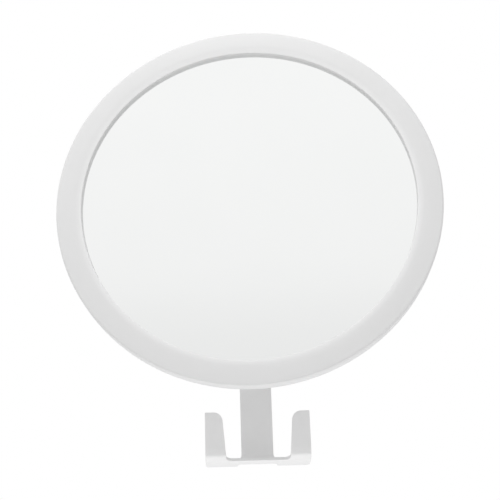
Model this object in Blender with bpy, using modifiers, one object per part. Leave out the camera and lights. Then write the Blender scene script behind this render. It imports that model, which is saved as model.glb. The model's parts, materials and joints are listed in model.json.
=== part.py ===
"""Round wall mirror on a ball joint, carried by a bent metal strap that ends in a two-pronged hook.

Units are metres, +Z is up. The wall is the plane Y = 0 and the mirror looks along -Y.
The origin is the centre of the adhesive pad's back face, where the mirror meets the wall.
Every round piece is turned about a forward axis: its local +Z points out of the wall.
"Reach" is a distance forward of the wall, "depth" one behind the rim's front face.
"""
from math import asin, atan, cos, pi, radians, sin, sqrt

import bmesh
import bpy
from mathutils import Matrix, Vector

# Clearances that every piece shares
seat_gap = 0.0003
cut_overrun = 0.0020
weld_depth = 0.0006
merge_distance = 0.00001

# Facets round a full turn
rim_steps = 72
socket_steps = 36
ball_steps = 32
screw_steps = 16
rim_arc_steps = 4
ball_arc_steps = 10
liner_arc_steps = 4
bend_steps = 6
corner_steps = 5
flare_steps = 3
hex_sides = 6

# Mirror head: moulded front rim
rim_radius = 0.1000
rim_face_width = 0.0134
rim_skirt_depth = 0.0075
rim_skirt_wall = 0.0024
rim_skirt_draft = 0.0002
rim_face_wall = 0.0024
rim_edge_round = 0.0012
lip_round_width = 0.0040
lip_round_drop = 0.0010
glass_rib_wall = 0.0016
glass_rib_height = 0.0026

# Mirror head: glass, foam and backing plate
glass_thickness = 0.0030
glass_overlap = 0.0018
foam_thickness = 0.0010
foam_inset = 0.0010
backing_thickness = 0.0015

# Mirror head: rear cover
cover_wall = 0.0022
cover_ledge_width = 0.0041
cover_floor_slope_width = 0.0037
cover_flat_width = 0.0140
cover_hub_rise = 0.0037
cover_hub_margin = 0.0033
cover_boss_clearance = 0.0006

# Cover screws
cover_screw_count = 6
cover_screw_radius = 0.0013
cover_screw_head_radius = 0.0026
cover_screw_head_height = 0.0018
cover_boss_radius = 0.0030
cover_screw_first_angle = radians(30)

# Ball joint
ball_radius = 0.0090
neck_radius = 0.0032
liner_thickness = 0.0015
liner_near_angle = radians(52)
liner_far_angle = radians(72)
pressure_cup_rear_angle = radians(95)
pressure_cup_front_angle = radians(155)
pressure_cup_crown = 0.0010
pressure_cup_chamfer = 0.0008
spring_thickness = 0.0005
spring_rise = 0.0007
spring_bore_radius = 0.0055
spring_inset = 0.0005
collar_radius = 0.0075
collar_height = 0.0025
swing_clearance = 0.0010
shank_radius = 0.0030

# Socket that holds the ball
socket_wall = 0.0029
socket_floor = 0.0020
socket_flange_radius = 0.0240
socket_flange_wall = 0.0028
socket_nose_chamfer = 0.0010
socket_nose_clearance = 0.0031
socket_split = 0.0004
clamp_wall = 0.0024
clamp_mouth_angle = radians(50)
clamp_mouth_relief = radians(2)
socket_screw_count = 3
socket_screw_radius = 0.0015
socket_screw_head_radius = 0.0026
socket_screw_head_height = 0.0016
socket_pillar_radius = 0.0032
socket_screw_first_angle = radians(90)
screw_tip_clearance = 0.0005

# Wall base
pad_thickness = 0.0010
pad_inset = 0.0005
base_radius = 0.0300
base_front_wall = 0.0035
base_skirt_wall = 0.0025
base_edge_round = 0.0015
base_boss_radius = 0.0045
back_plate_thickness = 0.0015
washer_thickness = 0.0010
washer_radius = 0.0062
nut_thickness = 0.0028
nut_radius = 0.0057
stud_end_clearance = 0.0006
strap_screw_edge = 0.0110
strap_screw_radius = 0.0020
strap_screw_head_radius = 0.0036
strap_screw_head_height = 0.0018

# Bent metal strap and hook
sheet = 0.0018
strap_width = 0.0163
hook_drop = 0.1299
hook_depth = 0.0174
hook_width = 0.0526
prong_height = 0.0242
rear_bend_inner_radius = 0.0042
front_bend_inner_radius = 0.0042
strap_root_fillet = 0.0030
wing_corner_round = 0.0020
prong_tip_width = 0.0085
prong_tip_round = 0.0042
prong_outer_round = 0.0005
notch_depth = 0.0048
prong_root_width = 0.0105
notch_corner_round = 0.0026

# Screw heads and tips, as shares of the head's height and of the shank's radius
screw_crown_share = 1 / 3
screw_tip_share = 1 / 2

# The head's place at rest: swivelled a little to the left about the ball
head_swivel = radians(-4.4)

# Depths and radii in the mirror head that follow
lip_radius = rim_radius - rim_face_width
glass_depth = rim_face_wall + seat_gap
glass_radius = lip_radius + glass_overlap
rib_inner_radius = glass_radius + seat_gap
rib_outer_radius = rib_inner_radius + glass_rib_wall
rib_end_depth = rim_face_wall + glass_rib_height
skirt_inner_radius = rim_radius - rim_skirt_draft - rim_skirt_wall
boss_circle = (rib_outer_radius + skirt_inner_radius) / 2
glass_back_depth = glass_depth + glass_thickness
foam_depth = glass_back_depth + seat_gap
backing_depth = foam_depth + foam_thickness + seat_gap
backing_back_depth = backing_depth + backing_thickness
cover_outer_radius = skirt_inner_radius - seat_gap
cover_front_depth = rib_end_depth + seat_gap
cover_ledge_depth = glass_back_depth + seat_gap
cover_floor_depth = backing_back_depth + seat_gap
cover_hub_front = cover_floor_depth + cover_hub_rise
cover_hub_depth = cover_hub_front + cover_wall
cover_boss_height = cover_hub_front - backing_back_depth - cover_boss_clearance
cover_pocket_radius = rib_inner_radius - cover_ledge_width
backing_radius = cover_pocket_radius - seat_gap
foam_radius = backing_radius - foam_inset

# Radii and places round the ball that follow, measured from its centre
liner_inner = ball_radius + seat_gap
liner_outer = liner_inner + liner_thickness
socket_bore = liner_outer + seat_gap
clamp_outer = socket_bore + clamp_wall
socket_outer_radius = socket_bore + socket_wall
hub_hole_radius = socket_outer_radius + seat_gap
hub_boss_relief = socket_outer_radius + seat_gap / 2
socket_screw_circle = (socket_outer_radius + socket_flange_radius) / 2
pressure_cup_face = liner_inner + pressure_cup_crown
spring_seat = pressure_cup_face + seat_gap
socket_floor_inner = spring_seat + spring_thickness + spring_rise + seat_gap
socket_front = socket_floor_inner + socket_floor
ball_depth = backing_back_depth + socket_nose_clearance + socket_front
flange_front = ball_depth - cover_hub_depth - seat_gap
flange_rear = flange_front - socket_flange_wall
clamp_front = socket_split - seat_gap
clamp_flange_rear = clamp_front - socket_flange_wall

# Reaches from the wall that follow
pad_radius = base_radius - pad_inset
base_rear = pad_thickness + seat_gap
base_bore = base_radius - base_skirt_wall
back_plate_front = base_rear + back_plate_thickness
nut_back = back_plate_front + stud_end_clearance
nut_front = nut_back + nut_thickness
washer_back = nut_front + seat_gap
washer_front = washer_back + washer_thickness
base_floor = washer_front + seat_gap
base_front = base_floor + base_front_wall
strap_screw_offset = base_radius - strap_screw_edge
strap_back = base_front + seat_gap
strap_front = strap_back + sheet
collar_back = strap_front + seat_gap
collar_front = collar_back + collar_height
ball_reach = collar_front + swing_clearance + clamp_outer

# Sizes in the hook that follow
rear_bend_radius = rear_bend_inner_radius + sheet
front_bend_radius = front_bend_inner_radius + sheet
rear_bend_mid = rear_bend_radius - sheet / 2
front_bend_mid = front_bend_radius - sheet / 2
notch_half_width = hook_width / 2 - prong_root_width


def clear_scene():
    for item in list(bpy.data.objects):
        bpy.data.objects.remove(item, do_unlink=True)


def new_collection(name):
    group = bpy.data.collections.new(name)
    bpy.context.scene.collection.children.link(group)
    return group


def material(name, colour, roughness, metallic=0.0):
    made = bpy.data.materials.new(name)
    made.use_nodes = True
    shader = made.node_tree.nodes["Principled BSDF"]
    shader.inputs["Base Color"].default_value = (*colour, 1)
    shader.inputs["Roughness"].default_value = roughness
    shader.inputs["Metallic"].default_value = metallic
    made.diffuse_color = (*colour, 1)
    return made


def add_object(name, mesh, group, parent, finish=None, place=(0, 0, 0), turn=(0, 0, 0)):
    item = bpy.data.objects.new(name, mesh)
    group.objects.link(item)
    item.parent = parent
    item.location = place
    item.rotation_euler = turn
    if finish:
        mesh.materials.append(finish)
    else:
        item.hide_render = True
        item.display_type = 'WIRE'
    return item


def arc(centre, radius, start, end, steps):
    """Points on an arc in a plane, both ends included; angles in radians from the first axis."""
    spread = [start + (end - start) * step / steps for step in range(steps + 1)]
    return [(centre[0] + radius * cos(angle), centre[1] + radius * sin(angle)) for angle in spread]


def sphere_arc(radius, start, end, steps):
    """Profile points on a ball about the origin; the angle is measured from the rear of its axis."""
    spread = [start + (end - start) * step / steps for step in range(steps + 1)]
    return [(radius * sin(angle), -radius * cos(angle)) for angle in spread]


def profile_mesh(name, points, closed):
    mesh = bpy.data.meshes.new(name)
    count = len(points)
    edges = [(index, index + 1) for index in range(count - 1)]
    if closed:
        edges.append((count - 1, 0))
    mesh.from_pydata([(radius, 0, height) for radius, height in points], edges, [])
    return mesh


def turned(name, points, steps, group, parent, finish=None, place=(0, 0, 0), turn=(0, 0, 0)):
    """A turned piece: a profile that runs down its outer side, swept round the local Z axis."""
    closed = points[0][0] > 0
    item = add_object(name, profile_mesh(name, points, closed), group, parent, finish, place, turn)
    sweep = item.modifiers.new("turn", 'SCREW')
    sweep.axis = 'Z'
    sweep.steps = steps
    sweep.render_steps = steps
    sweep.use_merge_vertices = True
    sweep.merge_threshold = merge_distance
    return item


def washer_profile(outer, inner, top, bottom):
    return [(outer, top), (outer, bottom), (inner, bottom), (inner, top)]


def disc_profile(radius, top, bottom):
    return [(0, top), (radius, top), (radius, bottom), (0, bottom)]


def rods(name, radius, start, end, places, sides, group, parent, finish=None):
    """Equal rods along local Z: bosses to add, holes to cut or, with a finish, a piece itself."""
    shape = bmesh.new()
    for x, y in places:
        centre = Matrix.Translation((x, y, (start + end) / 2))
        bmesh.ops.create_cone(shape, cap_ends=True, segments=sides, radius1=radius, radius2=radius,
                              depth=abs(end - start), matrix=centre)
    mesh = bpy.data.meshes.new(name)
    shape.to_mesh(mesh)
    shape.free()
    return add_object(name, mesh, group, parent, finish)


def boolean(item, tool, operation):
    step = item.modifiers.new(tool.name, 'BOOLEAN')
    step.operation = operation
    step.solver = 'EXACT'
    step.object = tool


def circle_places(count, radius, first_angle):
    spread = [first_angle + 2 * pi * index / count for index in range(count)]
    return [(radius * cos(angle), radius * sin(angle)) for angle in spread]


def screw_profile(head_radius, head_height, radius, length):
    """A pan-head screw: the head stands on local z = 0 and the shank hangs below it."""
    crown = head_height * screw_crown_share
    tip = radius * screw_tip_share
    return [(0, head_height), (head_radius - crown, head_height), (head_radius, head_height - crown),
            (head_radius, 0), (radius, 0), (radius, tip - length), (radius - tip, -length),
            (0, -length)]


def make_rim(group, cutters, head, finish):
    face = ball_depth
    edge = arc((rim_radius - rim_edge_round, face - rim_edge_round), rim_edge_round,
               pi / 2, 0, rim_arc_steps)
    lip = []
    for step in range(rim_arc_steps + 1):
        angle = pi / 2 * step / rim_arc_steps
        lip.append((lip_radius + lip_round_width * (1 - cos(angle)),
                    face - lip_round_drop * (1 - sin(angle))))
    skirt_end = face - rim_skirt_depth
    shelf = face - rim_face_wall
    rib_end = face - rib_end_depth
    points = edge + [(rim_radius - rim_skirt_draft, skirt_end), (skirt_inner_radius, skirt_end),
                     (skirt_inner_radius, shelf), (rib_outer_radius, shelf),
                     (rib_outer_radius, rib_end), (rib_inner_radius, rib_end),
                     (rib_inner_radius, shelf), (lip_radius, shelf)] + lip
    rim = turned("front_rim", points, rim_steps, group, head, finish)
    places = circle_places(cover_screw_count, boss_circle, cover_screw_first_angle)
    bosses = rods("rim_bosses", cover_boss_radius, shelf + weld_depth, rib_end, places,
                  screw_steps, cutters, head)
    holes = rods("rim_screw_holes", cover_screw_radius + seat_gap, shelf, rib_end - cut_overrun,
                 places, screw_steps, cutters, head)
    boolean(rim, bosses, 'UNION')
    boolean(rim, holes, 'DIFFERENCE')
    return rim


def make_glass_stack(group, head, finishes):
    face = ball_depth
    layers = (("mirror_glass", glass_radius, glass_depth, glass_thickness, "glass"),
              ("foam_pad", foam_radius, foam_depth, foam_thickness, "foam"),
              ("backing_plate", backing_radius, backing_depth, backing_thickness, "board"))
    for name, radius, depth, thickness, finish in layers:
        turned(name, disc_profile(radius, face - depth, face - depth - thickness), rim_steps,
               group, head, finishes[finish])


def make_rear_cover(group, cutters, head, finish):
    face = ball_depth
    flange_rear_radius = boss_circle - cover_screw_head_radius - seat_gap
    floor_rear = cover_floor_depth + cover_wall
    slope_end = flange_rear_radius - cover_floor_slope_width
    flat_end = cover_pocket_radius - cover_flat_width
    hub_end = socket_flange_radius + cover_hub_margin
    outline = [(cover_outer_radius, cover_front_depth), (cover_outer_radius, rim_skirt_depth),
               (flange_rear_radius, rim_skirt_depth), (slope_end, floor_rear), (flat_end, floor_rear),
               (hub_end, cover_hub_depth), (hub_hole_radius, cover_hub_depth),
               (hub_hole_radius, cover_hub_front), (hub_end, cover_hub_front),
               (flat_end, cover_floor_depth),
               (cover_pocket_radius, cover_floor_depth), (cover_pocket_radius, cover_ledge_depth),
               (rib_inner_radius, cover_ledge_depth), (rib_inner_radius, cover_front_depth)]
    cover = turned("rear_cover", [(radius, face - depth) for radius, depth in outline], rim_steps,
                   group, head, finish)
    socket_places = circle_places(socket_screw_count, socket_screw_circle, socket_screw_first_angle)
    rim_places = circle_places(cover_screw_count, boss_circle, cover_screw_first_angle)
    hub_face = face - cover_hub_front
    bosses = rods("cover_bosses", socket_pillar_radius, hub_face - weld_depth,
                  hub_face + cover_boss_height, socket_places, screw_steps, cutters, head)
    relief = rods("cover_boss_relief", hub_boss_relief, hub_face + cover_boss_height + cut_overrun,
                  face - cover_hub_depth - cut_overrun, [(0, 0)], socket_steps, cutters, head)
    hub_holes = rods("cover_hub_holes", socket_screw_radius + seat_gap,
                     hub_face + cover_boss_height + cut_overrun,
                     face - cover_hub_depth - cut_overrun, socket_places, screw_steps, cutters, head)
    rim_holes = rods("cover_rim_holes", cover_screw_radius + seat_gap,
                     face - cover_front_depth + cut_overrun, face - rim_skirt_depth - cut_overrun,
                     rim_places, screw_steps, cutters, head)
    boolean(cover, bosses, 'UNION')
    boolean(cover, relief, 'DIFFERENCE')
    boolean(cover, hub_holes, 'DIFFERENCE')
    boolean(cover, rim_holes, 'DIFFERENCE')
    seat = face - rim_skirt_depth - seat_gap
    length = rim_skirt_depth + seat_gap - rim_face_wall - screw_tip_clearance
    outline = screw_profile(cover_screw_head_radius, cover_screw_head_height, cover_screw_radius, length)
    return [("cover_screw_%d" % (index + 1), outline, (x, y, seat))
            for index, (x, y) in enumerate(rim_places)]


def make_socket(group, cutters, head, finishes):
    cup_outline = [(0, socket_front), (socket_outer_radius - socket_nose_chamfer, socket_front),
                   (socket_outer_radius, socket_front - socket_nose_chamfer),
                   (socket_outer_radius, flange_front), (socket_flange_radius, flange_front),
                   (socket_flange_radius, flange_rear), (socket_outer_radius, flange_rear),
                   (socket_outer_radius, socket_split), (socket_bore, socket_split),
                   (socket_bore, socket_floor_inner), (0, socket_floor_inner)]
    cup = turned("socket_cup", cup_outline, socket_steps, group, head, finishes["socket"])
    places = circle_places(socket_screw_count, socket_screw_circle, socket_screw_first_angle)
    pillars = rods("socket_pillars", socket_pillar_radius, flange_rear + weld_depth, socket_split,
                   places, screw_steps, cutters, head)
    cup_holes = rods("socket_cup_holes", socket_screw_radius + seat_gap, flange_front + cut_overrun,
                     socket_split - cut_overrun, places, screw_steps, cutters, head)
    boolean(cup, pillars, 'UNION')
    boolean(cup, cup_holes, 'DIFFERENCE')
    dome_start = asin(sqrt(1 - (clamp_flange_rear / clamp_outer) ** 2))
    clamp_outline = [(socket_flange_radius, clamp_front), (socket_flange_radius, clamp_flange_rear)]
    clamp_outline += sphere_arc(clamp_outer, dome_start, clamp_mouth_angle - clamp_mouth_relief,
                                liner_arc_steps)
    clamp_outline += sphere_arc(socket_bore, clamp_mouth_angle, pi / 2, liner_arc_steps)
    clamp_outline += [(socket_bore, clamp_front)]
    clamp = turned("clamp_ring", clamp_outline, socket_steps, group, head, finishes["socket"])
    clamp_holes = rods("clamp_ring_holes", socket_screw_radius + seat_gap, clamp_front + cut_overrun,
                       clamp_flange_rear - cut_overrun, places, screw_steps, cutters, head)
    boolean(clamp, clamp_holes, 'DIFFERENCE')
    spring_outer = socket_bore - seat_gap - spring_inset
    spring_outline = [(spring_outer, spring_seat + spring_thickness), (spring_outer, spring_seat),
                      (spring_bore_radius, spring_seat + spring_rise),
                      (spring_bore_radius, spring_seat + spring_rise + spring_thickness)]
    turned("disc_spring", spring_outline, socket_steps, group, head, finishes["steel"])
    seat = clamp_flange_rear - seat_gap
    tip = ball_depth - cover_hub_front + cover_boss_height - screw_tip_clearance
    outline = screw_profile(socket_screw_head_radius, socket_screw_head_height, socket_screw_radius,
                            tip - seat)
    return [("socket_screw_%d" % (index + 1), outline, (x, y, seat))
            for index, (x, y) in enumerate(places)]


def make_liners(group, head, finish):
    ring = sphere_arc(liner_outer, liner_far_angle, liner_near_angle, liner_arc_steps)
    ring += sphere_arc(liner_inner, liner_near_angle, liner_far_angle, liner_arc_steps)
    turned("liner_ring", ring, socket_steps, group, head, finish)
    bowl = sphere_arc(liner_inner, pressure_cup_rear_angle, pressure_cup_front_angle,
                      2 * liner_arc_steps)
    rear = bowl[0][1]
    hole = bowl[-1][0]
    cup = [(liner_outer - pressure_cup_chamfer, pressure_cup_face),
           (liner_outer, pressure_cup_face - pressure_cup_chamfer), (liner_outer, rear)]
    cup += bowl + [(hole, pressure_cup_face)]
    turned("pressure_cup", cup, socket_steps, group, head, finish)


def make_wall_base(group, cutters, wall, finishes):
    turned("wall_pad", disc_profile(pad_radius, pad_thickness, 0), socket_steps, group, wall,
           finishes["foam"])
    screw_places = [(0, strap_screw_offset), (0, -strap_screw_offset)]
    screw_hole = strap_screw_radius + seat_gap
    plate = turned("back_plate", disc_profile(base_bore - seat_gap, back_plate_front, base_rear),
                   socket_steps, group, wall, finishes["steel"])
    plate_holes = rods("back_plate_holes", screw_hole, back_plate_front + cut_overrun,
                       base_rear - cut_overrun, screw_places, screw_steps, cutters, wall)
    boolean(plate, plate_holes, 'DIFFERENCE')
    edge = arc((base_radius - base_edge_round, base_front - base_edge_round), base_edge_round,
               pi / 2, 0, rim_arc_steps)
    outline = [(0, base_front)] + edge
    outline += [(base_radius, base_rear), (base_bore, base_rear), (base_bore, base_floor),
                (0, base_floor)]
    base = turned("wall_base", outline, socket_steps, group, wall, finishes["base"])
    bosses = rods("base_bosses", base_boss_radius, base_floor + weld_depth,
                  back_plate_front + seat_gap, screw_places, screw_steps, cutters, wall)
    holes = rods("base_screw_holes", screw_hole, base_front + cut_overrun, base_rear - cut_overrun,
                 screw_places, screw_steps, cutters, wall)
    bore = rods("base_stud_hole", shank_radius + seat_gap, base_front + cut_overrun,
                base_floor - cut_overrun, [(0, 0)], screw_steps, cutters, wall)
    boolean(base, bosses, 'UNION')
    boolean(base, holes, 'DIFFERENCE')
    boolean(base, bore, 'DIFFERENCE')
    seat = strap_front + seat_gap
    outline = screw_profile(strap_screw_head_radius, strap_screw_head_height, strap_screw_radius,
                            seat - base_rear - seat_gap)
    for name, (x, y) in zip(("strap_screw_upper", "strap_screw_lower"), screw_places):
        turned(name, outline, screw_steps, group, wall, finishes["screw"], (x, y, seat))


def make_ball_stud(group, cutters, wall, finishes):
    neck_start = asin(neck_radius / ball_radius)
    ball = sphere_arc(ball_radius, pi, neck_start, ball_arc_steps)
    outline = [(0, ball_reach + ball_radius)]
    outline += [(radius, ball_reach + height) for radius, height in ball[1:]]
    outline += [(neck_radius, collar_front - weld_depth), (shank_radius, collar_front - weld_depth),
                (shank_radius, nut_back), (0, nut_back)]
    stud = turned("ball_stud", outline, ball_steps, group, wall, finishes["steel"])
    collar = rods("stud_collar", collar_radius, collar_front, collar_back, [(0, 0)], hex_sides,
                  cutters, wall)
    boolean(stud, collar, 'UNION')
    bore = shank_radius + seat_gap
    turned("stud_washer", washer_profile(washer_radius, bore, washer_front, washer_back),
           ball_steps, group, wall, finishes["steel"])
    nut = rods("stud_nut", nut_radius, nut_front, nut_back, [(0, 0)], hex_sides, group, wall,
               finishes["steel"])
    nut_hole = rods("stud_nut_hole", bore, nut_front + cut_overrun, nut_back - cut_overrun,
                    [(0, 0)], screw_steps, cutters, wall)
    boolean(nut, nut_hole, 'DIFFERENCE')


def hook_half_outline(layout):
    """Right half of the flat blank, from the strap's top round to the notch: (across, along) points."""
    half_strap = strap_width / 2
    half_hook = hook_width / 2
    top = arc((0, layout["top"]), half_strap, pi / 2, 0, 2 * corner_steps)
    root = arc((half_strap + strap_root_fillet, layout["wing"] + strap_root_fillet),
               strap_root_fillet, pi, 3 * pi / 2, corner_steps)
    wing = arc((half_hook - wing_corner_round, layout["wing"] - wing_corner_round),
               wing_corner_round, pi / 2, 0, corner_steps)
    outer_tip = arc((half_hook - prong_outer_round, layout["tip"] + prong_outer_round),
                    prong_outer_round, 0, -pi / 2, corner_steps)
    tip_inner = half_hook - prong_tip_width
    slope = (tip_inner - notch_half_width) / (layout["notch"] - layout["tip"])
    lean = atan(slope)
    inner_tip = arc((tip_inner + prong_tip_round * (1 / cos(lean) - slope),
                     layout["tip"] + prong_tip_round),
                    prong_tip_round, -pi / 2, -pi + lean, corner_steps)
    notch = arc((notch_half_width - notch_corner_round * (1 / cos(lean) - slope),
                 layout["notch"] - notch_corner_round),
                notch_corner_round, lean, pi / 2, corner_steps)
    return top + root + wing + outer_tip + inner_tip + notch


def bend_point(across, along, layout):
    """Where a point of the flat blank lies once the strap and the prongs are bent up."""
    floor = sheet / 2
    if along < layout["front"]:
        run = layout["front"] - along
        angle = min(run / front_bend_mid, pi / 2)
        rise = max(run - front_bend_mid * pi / 2, 0)
        return (across, layout["front"] - front_bend_mid * sin(angle),
                floor + front_bend_mid * (1 - cos(angle)) + rise)
    flat = Vector((across, along, floor))
    if along < layout["rear"]:
        return flat
    run = along - layout["rear"]
    angle = min(run / rear_bend_mid, pi / 2)
    rise = max(run - rear_bend_mid * pi / 2, 0)
    bent = Vector((across, layout["rear"] + rear_bend_mid * sin(angle),
                   floor + rear_bend_mid * (1 - cos(angle)) + rise))
    outside = (abs(across) - strap_width / 2) / strap_root_fillet
    share = min(max(outside, 0), 1)
    ease = share * share * (3 - 2 * share)
    return bent.lerp(flat, ease)


def make_hook_strap(group, cutters, finish):
    """The strap is one flat blank, bent up into the strap behind and the two prongs in front."""
    front_arc = front_bend_mid * pi / 2
    rear_arc = rear_bend_mid * pi / 2
    layout = {"front": -hook_depth + front_bend_radius, "rear": -rear_bend_radius, "wing": 0.0}
    layout["bend"] = layout["front"] - front_arc
    layout["tip"] = layout["bend"] - (prong_height - front_bend_radius)
    layout["notch"] = -hook_depth + notch_depth
    strap_start = layout["rear"] + rear_arc
    layout["top"] = strap_start + hook_drop + strap_screw_offset - rear_bend_radius
    right = hook_half_outline(layout)
    left = [(-across, along) for across, along in reversed(right) if across > merge_distance]
    shape = bmesh.new()
    blank = shape.faces.new([shape.verts.new((across, along, 0)) for across, along in right + left])
    blank.normal_update()
    if blank.normal.z < 0:
        blank.normal_flip()
    cuts = [layout["bend"] + front_arc * step / bend_steps for step in range(bend_steps + 1)]
    cuts += [layout["rear"] + rear_arc * step / bend_steps for step in range(bend_steps + 1)]
    planes = [((0, along, 0), (0, 1, 0)) for along in cuts]
    for step in range(flare_steps + 1):
        across = strap_width / 2 + strap_root_fillet * step / flare_steps
        planes += [((across, 0, 0), (1, 0, 0)), ((-across, 0, 0), (1, 0, 0))]
    for point, normal in planes:
        whole = shape.verts[:] + shape.edges[:] + shape.faces[:]
        bmesh.ops.bisect_plane(shape, geom=whole, dist=merge_distance, plane_co=point, plane_no=normal)
    for vertex in shape.verts:
        vertex.co = bend_point(vertex.co.x, vertex.co.y, layout)
    mesh = bpy.data.meshes.new("hook_strap")
    shape.to_mesh(mesh)
    shape.free()
    strap = add_object("hook_strap", mesh, group, None, finish, (0, -strap_back, -hook_drop))
    wall_thickness = strap.modifiers.new("sheet", 'SOLIDIFY')
    wall_thickness.thickness = sheet
    wall_thickness.offset = 0
    wall_thickness.use_even_offset = True
    bores = ((0, shank_radius), (strap_screw_offset, strap_screw_radius),
             (-strap_screw_offset, strap_screw_radius))
    holder = bpy.data.objects["wall_mount"]
    for index, (height, radius) in enumerate(bores):
        bore = rods("strap_hole_%d" % (index + 1), radius + seat_gap, strap_front + cut_overrun,
                    strap_back - cut_overrun, [(0, height)], screw_steps, cutters, holder)
        boolean(strap, bore, 'DIFFERENCE')


def shade_round(group):
    for item in group.objects:
        if item.type == 'MESH':
            item.data.shade_smooth()


def main():
    clear_scene()
    group = new_collection("wall_mirror")
    cutters = new_collection("cutters")
    finishes = {"rim": material("rim_plastic", (0.78, 0.78, 0.78), 0.42),
                "cover": material("cover_plastic", (0.74, 0.74, 0.74), 0.5),
                "base": material("base_plastic", (0.76, 0.76, 0.76), 0.48),
                "glass": material("silvered_glass", (0.92, 0.93, 0.93), 0.02, 1.0),
                "foam": material("adhesive_foam", (0.55, 0.55, 0.54), 0.95),
                "board": material("backing_board", (0.35, 0.33, 0.30), 0.85),
                "socket": material("socket_nylon", (0.16, 0.16, 0.17), 0.55),
                "liner": material("liner_acetal", (0.85, 0.85, 0.82), 0.4),
                "steel": material("zinc_plated_steel", (0.62, 0.63, 0.64), 0.3, 1.0),
                "screw": material("screw_steel", (0.55, 0.56, 0.57), 0.35, 1.0),
                "strap": material("painted_steel", (0.70, 0.70, 0.70), 0.38)}
    forward = pi / 2
    wall = bpy.data.objects.new("wall_mount", None)
    group.objects.link(wall)
    wall.rotation_euler = (forward, 0, 0)
    head = bpy.data.objects.new("head_pivot", None)
    group.objects.link(head)
    head.location = (0, -ball_reach, 0)
    head.rotation_euler = (forward, 0, head_swivel)
    make_wall_base(group, cutters, wall, finishes)
    make_ball_stud(group, cutters, wall, finishes)
    make_hook_strap(group, cutters, finishes["strap"])
    make_liners(group, head, finishes["liner"])
    make_rim(group, cutters, head, finishes["rim"])
    make_glass_stack(group, head, finishes)
    screws = make_rear_cover(group, cutters, head, finishes["cover"])
    screws += make_socket(group, cutters, head, finishes)
    for name, outline, place in screws:
        turned(name, outline, screw_steps, group, head, finishes["screw"], place, (pi, 0, 0))
    shade_round(group)


main()
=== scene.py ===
# %% [markdown]
# # A round wall mirror with a ball joint and a hook
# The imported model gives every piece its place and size, in metres, with +Z up and the wall at Y = 0.
# The mirror looks along -Y. This lesson keeps that frame and builds the fine surfaces and finishes
# round it: a moulded rim, a silvered glass, a powder-coated hook, screws with real recesses.

# %% Load the frame
import json
from math import asin, cos, pi, radians, sin

import bmesh
import bpy
from mathutils import Matrix, Vector


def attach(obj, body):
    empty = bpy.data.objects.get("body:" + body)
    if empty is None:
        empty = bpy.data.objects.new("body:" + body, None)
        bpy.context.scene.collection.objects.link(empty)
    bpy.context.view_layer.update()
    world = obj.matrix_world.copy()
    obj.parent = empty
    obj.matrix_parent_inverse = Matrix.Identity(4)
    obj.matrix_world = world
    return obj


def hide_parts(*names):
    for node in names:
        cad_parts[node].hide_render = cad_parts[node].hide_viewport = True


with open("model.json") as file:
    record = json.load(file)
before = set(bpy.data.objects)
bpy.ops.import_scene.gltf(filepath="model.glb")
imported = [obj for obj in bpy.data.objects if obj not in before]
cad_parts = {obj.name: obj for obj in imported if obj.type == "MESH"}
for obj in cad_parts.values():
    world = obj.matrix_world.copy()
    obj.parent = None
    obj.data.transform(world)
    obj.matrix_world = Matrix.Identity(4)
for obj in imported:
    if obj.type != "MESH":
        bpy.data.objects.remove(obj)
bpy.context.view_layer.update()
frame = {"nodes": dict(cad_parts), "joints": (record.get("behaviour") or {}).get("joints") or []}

# %% [markdown]
# ## The camera
# The photo looks up at the mirror from about 25 degrees below. The lens and the place come from the
# rim's outline, which is a circle on the real thing, and from the hook's edges. The camera also leans
# a little, so the object seems to turn anticlockwise by just over one degree.

# %% Camera
sensor_width = 36.0
focal_length = 79.2
camera_place = (-0.01843, -0.57055, -0.24036)
camera_turn = (radians(112.314), radians(1.682), radians(-1.150))

camera_data = bpy.data.cameras.new("photo_camera")
camera_data.sensor_width = sensor_width
camera_data.lens = focal_length
camera_data.clip_start = 0.01
camera_data.clip_end = 50.0
photo_camera = bpy.data.objects.new("photo_camera", camera_data)
photo_camera.location = camera_place
photo_camera.rotation_euler = camera_turn
bpy.context.scene.collection.objects.link(photo_camera)
bpy.context.scene.camera = photo_camera
print("camera", tuple(round(value, 4) for value in photo_camera.location))

# %% [markdown]
# ## Light and floor
# The photo is a packshot on white: no shadow, a white surround, a soft light that comes mostly from
# above and from the pale floor below. The world's shade changes from straight down to straight up.
# It has two sets of shades, one that lights the surfaces and one that the mirror and the gloss show.
# Five large lamps, above, in front, to the left, behind and below, model the white surfaces. No
# reflection shows them, so the mirror stays plain. Rays that go straight to the camera see plain
# white. The floor lies far down, so that the mirror can be looked at from below as well.

# %% Node helpers


def add_node(tree, kind, values=None, **settings):
    """A new node: settings are its own properties, values fill its unlinked inputs."""
    made = tree.nodes.new(kind)
    for key, value in settings.items():
        setattr(made, key, value)
    for socket, value in (values or {}).items():
        made.inputs[socket].default_value = value
    return made


def join(tree, *pairs):
    """Links (output, input) pairs."""
    for start, end in pairs:
        tree.links.new(start, end)


def fill_ramp(node, stops):
    """Sets a colour ramp to greys from (place, shade) rows."""
    ramp = node.color_ramp
    while len(ramp.elements) > 1:
        ramp.elements.remove(ramp.elements[-1])
    for index, (place, shade) in enumerate(stops):
        stop = ramp.elements[0] if index == 0 else ramp.elements.new(place)
        stop.position = place
        stop.color = (shade, shade, shade, 1.0)


# %% World: its shades run from straight down, at 0, to straight up, at 1
bpy.context.scene.view_settings.view_transform = 'Standard'
studio = bpy.data.worlds.new("soft_studio")
bpy.context.scene.world = studio
studio.use_nodes = True
sky = studio.node_tree
sky.nodes.clear()
light_stops = [(0.0, 0.85), (0.5, 0.70), (0.7, 0.40), (0.85, 0.68), (1.0, 0.92)]
shine_stops = [(0.0, 0.95), (0.45, 0.80), (0.60, 0.89), (0.62, 0.91), (0.64, 0.935), (0.66, 0.95),
               (0.70, 0.962), (0.78, 0.983), (1.0, 1.0)]

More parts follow.
